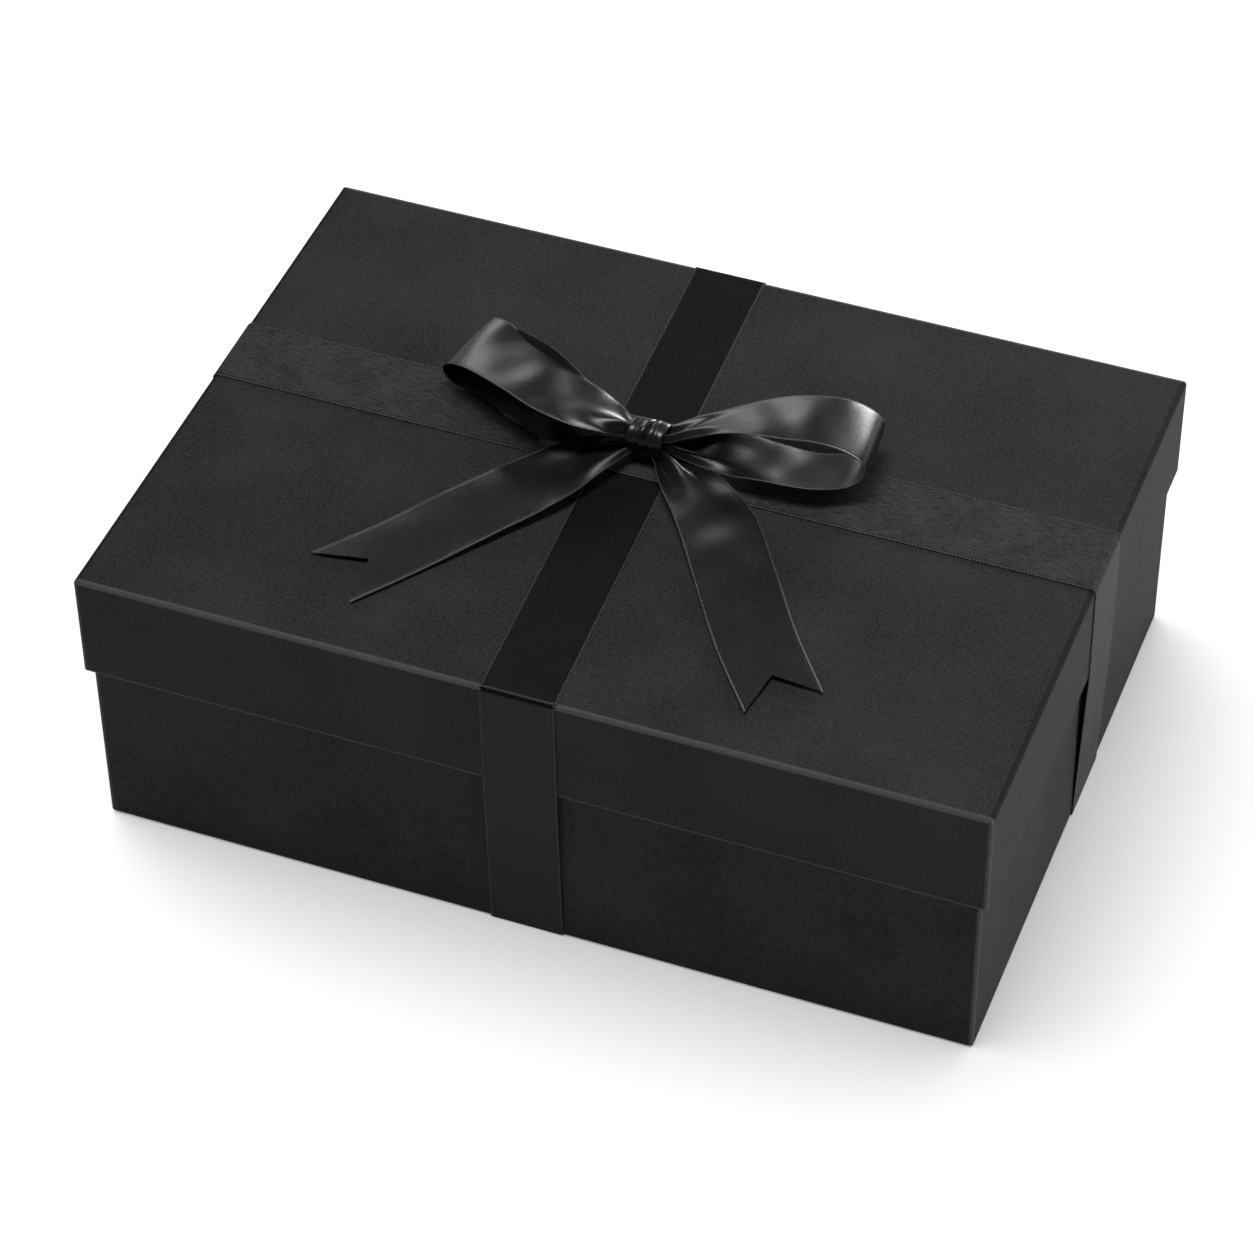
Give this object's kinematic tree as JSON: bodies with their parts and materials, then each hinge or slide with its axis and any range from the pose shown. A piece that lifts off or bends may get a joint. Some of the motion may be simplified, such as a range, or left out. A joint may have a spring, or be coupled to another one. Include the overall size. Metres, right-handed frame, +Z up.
{
  "type": "gift box",
  "caption": "Rectangular rigid gift box in black paper with a lift-off lid, tied both ways with black satin ribbon and a shoelace bow with swallow-tail ends.",
  "frame": {"origin": "centre of the footprint, on the surface that the box stands on", "axes": "+Z up through the lid, +X along the long side, front face towards -Y"},
  "size_m": [0.311, 0.2208, 0.1295],
  "materials": {
    "greyboard": "grey pulp board, cut edge",
    "cover_paper": "soft matte black paper, fine tooth",
    "lining_paper": "smooth matte black paper",
    "stay_tape": "gummed brown paper tape",
    "band_satin": "woven satin with a stitched selvedge",
    "bow_satin": "double-faced satin, soft gloss",
    "pad": "double-sided adhesive pad"
  },
  "bodies": {
    "base": {"base_board": "greyboard", "base_cover": "cover_paper", "base_lining": "lining_paper", "base_stay_front_left": "stay_tape", "base_stay_front_right": "stay_tape", "base_stay_back_left": "stay_tape", "base_stay_back_right": "stay_tape", "ribbon_under_short": "band_satin", "ribbon_under_long": "band_satin"},
    "lid": {"lid_board": "greyboard", "lid_cover": "cover_paper", "lid_lining": "lining_paper", "lid_stay_front_left": "stay_tape", "lid_stay_front_right": "stay_tape", "lid_stay_back_left": "stay_tape", "lid_stay_back_right": "stay_tape"},
    "ribbon": {"ribbon_top_short": "band_satin", "ribbon_top_long": "band_satin", "bow_gather": "bow_satin", "bow_knot": "bow_satin", "bow_loop_left": "bow_satin", "bow_loop_right": "bow_satin", "bow_tail_left": "bow_satin", "bow_tail_right": "bow_satin", "bow_pad": "pad"},
    "drop_front": {"ribbon_drop_front": "band_satin"},
    "drop_back": {"ribbon_drop_back": "band_satin"},
    "drop_left": {"ribbon_drop_left": "band_satin"},
    "drop_right": {"ribbon_drop_right": "band_satin"}
  },
  "joints": [
    {"name": "lid_lift", "type": "slide", "parent": "base", "child": "lid", "axis": [0, 0, 1], "range_m": [0, 0.12]},
    {"name": "ribbon_lift", "type": "slide", "parent": "lid", "child": "ribbon", "axis": [0, 0, 1], "range_m": [0, 0.12]},
    {"name": "drop_front_flare", "type": "hinge", "parent": "ribbon", "child": "drop_front", "pos_m": [-0.0009, -0.11045, 0.1059], "axis": [-1, 0, 0], "range_deg": [0, 10]},
    {"name": "drop_back_flare", "type": "hinge", "parent": "ribbon", "child": "drop_back", "pos_m": [-0.0086, 0.11045, 0.1059], "axis": [1, 0, 0], "range_deg": [0, 10]},
    {"name": "drop_left_flare", "type": "hinge", "parent": "ribbon", "child": "drop_left", "pos_m": [-0.15545, 0.0136, 0.1059], "axis": [0, 1, 0], "range_deg": [0, 10]},
    {"name": "drop_right_flare", "type": "hinge", "parent": "ribbon", "child": "drop_right", "pos_m": [0.15545, 0.0136, 0.1059], "axis": [0, -1, 0], "range_deg": [0, 10]}
  ],
  "couplings": [
    {"joint": "drop_front_flare", "follows": "ribbon_lift", "rad_per_m": 1.3},
    {"joint": "drop_back_flare", "follows": "ribbon_lift", "rad_per_m": 1.3},
    {"joint": "drop_left_flare", "follows": "ribbon_lift", "rad_per_m": 1.3},
    {"joint": "drop_right_flare", "follows": "ribbon_lift", "rad_per_m": 1.3}
  ]
}
